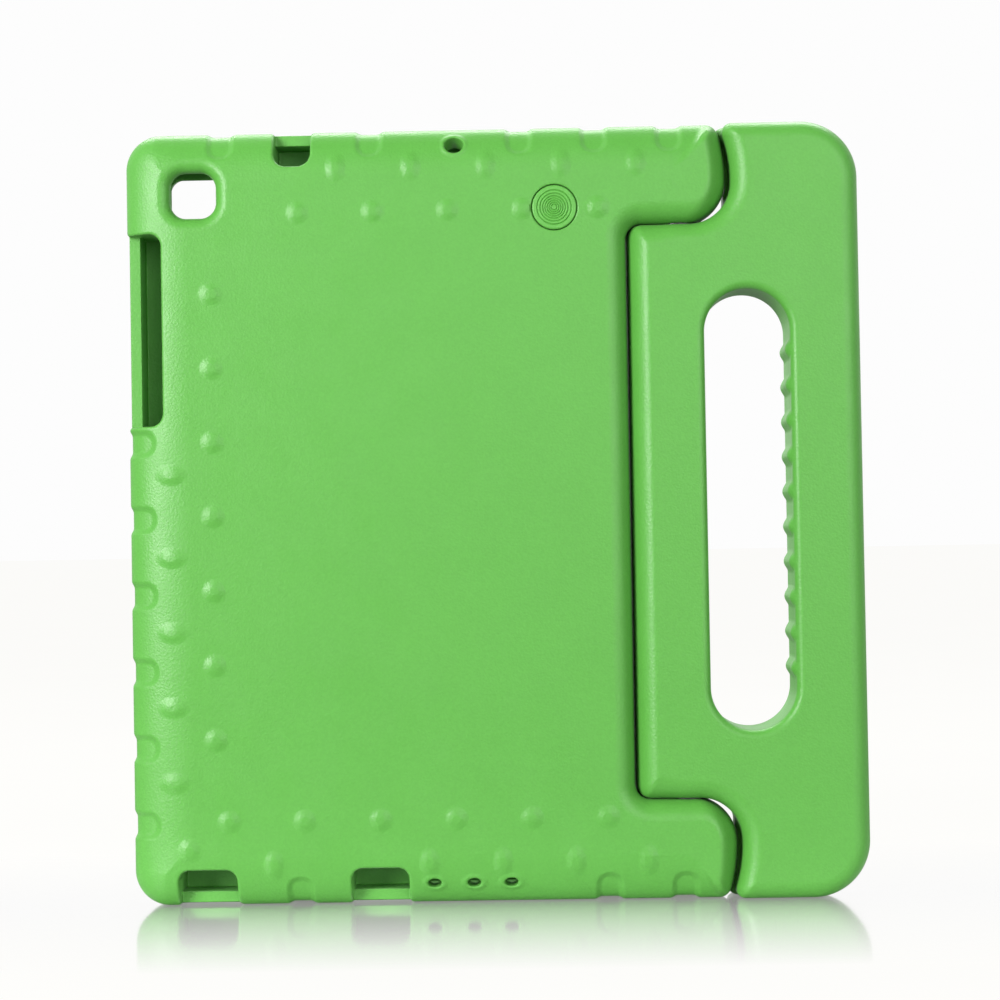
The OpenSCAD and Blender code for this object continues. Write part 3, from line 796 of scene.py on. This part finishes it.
def floor_material():
    """White studio floor that mirrors the object faintly, less so further from it."""
    n = Nodes("studio_floor")
    smudge = n.noise(180, 2)
    base = n.colours(smudge, (0.3, (0.018, 0.018, 0.018)), (0.7, (0.022, 0.022, 0.022)))
    n.shader.inputs["Emission Color"].default_value = (1.0, 0.995, 0.975, 1)
    path = n.tree.nodes.new("ShaderNodeLightPath").outputs["Is Camera Ray"]
    n.join(n.spread(path, FLOOR_FILL, FLOOR_GLOW, 0, 1), n.shader.inputs["Emission Strength"])
    n.finish(base, n.spread(smudge, 0.45, 0.5), n.bump(n.noise(40, 1), 0.01, 0.2), Specular_IOR_Level=0.0)
    mirror = n.tree.nodes.new("ShaderNodeBsdfGlossy")
    mirror.inputs["Color"].default_value = (0.95, 0.95, 0.95, 1)
    mirror.inputs["Roughness"].default_value = 0.10
    split = n.tree.nodes.new("ShaderNodeSeparateXYZ")
    n.join(n.place, split.inputs["Vector"])
    away = n.tree.nodes.new("ShaderNodeMath")
    away.operation = "ABSOLUTE"
    n.join(split.outputs["Y"], away.inputs[0])
    share = n.spread(away.outputs["Value"], MIRROR_SHARE, 0.0, *MIRROR_FADE)
    mix = n.tree.nodes.new("ShaderNodeMixShader")
    n.join(share, mix.inputs["Fac"])
    n.join(n.shader.outputs["BSDF"], mix.inputs[1])
    n.join(mirror.outputs["BSDF"], mix.inputs[2])
    n.join(mix.outputs["Shader"], n.tree.nodes["Material Output"].inputs["Surface"])
    return n.material


def studio_floor():
    """A wide floor just under the case, in metres."""
    mesh = bpy.data.meshes.new("floor")
    reach, drop = 60.0, 0.0002
    corners = [(-reach, -reach), (reach, -reach), (reach, reach), (-reach, reach)]
    mesh.from_pydata([(x, y, -drop) for x, y in corners], [], [(0, 1, 2, 3)])
    floor = link(bpy.data.objects.new("floor", mesh))
    coat(floor, floor_material())


def studio_camera():
    """A camera square to the back of the case, a little below its middle and slightly tilted."""
    data = bpy.data.cameras.new("camera")
    data.lens = CAMERA_LENS
    data.sensor_width = 36.0
    data.clip_start = 0.05
    data.clip_end = 200.0
    camera = link(bpy.data.objects.new("camera", data))
    camera.location = Vector(CAMERA_PLACE) * MM
    pitch, roll, yaw = [math.radians(a) for a in (90 + CAMERA_PITCH, CAMERA_ROLL, CAMERA_YAW)]
    turn = Euler((pitch, 0, yaw), "XYZ").to_matrix() @ Euler((0, 0, roll), "XYZ").to_matrix()
    camera.rotation_euler = turn.to_euler()
    bpy.context.scene.camera = camera


# ---------------------------------------------------------------- the object
GREEN_FOAM = foam_material("green_foam_skin", FOAM_GREEN)
DISC_FOAM = foam_material("disc_foam_skin", scaled(FOAM_GREEN, 1.08), 0.05)
NYLON = plastic_material("dark_nylon_moulded", (0.020, 0.024, 0.021), 0.42, 0.02)
RUBBER = plastic_material("black_rubber_moulded", (0.012, 0.012, 0.012), 0.62, 0.03)
ACETAL = plastic_material("white_acetal_turned", (0.72, 0.72, 0.70), 0.35, 0.01)
STEEL = steel_material("spring_steel_rolled")

HARDWARE = {"arm_bush": NYLON, "hinge_pin": NYLON, "handle_anchor": NYLON, "friction_ring": RUBBER,
            "thrust_washer": ACETAL, "retaining_clip": STEEL}
for stem, material in HARDWARE.items():
    for end in ("top", "bottom"):
        coat(frame["nodes"][f"{stem}_{end}"], material)

shell = coat(moulding("shell_moulding", shell_distance, SHELL_LO, SHELL_HI, SHELL_FACES), GREEN_FOAM)
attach(shell, "case")
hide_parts("body_shell")

# The block's left side may lie a little further out than the CAD one, so the grid starts further out.
handle_lo = HANDLE_LO - np.array([3, 0, 0])
handle = coat(moulding("handle_moulding", handle_distance, handle_lo, HANDLE_HI, HANDLE_FACES), GREEN_FOAM)
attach(handle, "carry_handle")
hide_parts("handle")

disc = coat(ringed_disc(), DISC_FOAM)
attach(disc, "case")
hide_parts("ring_disc")

studio_world()
studio_floor()
studio_camera()
for light in LIGHTS:
    soft_light(*light)
bpy.context.scene.view_settings.view_transform = "Standard"
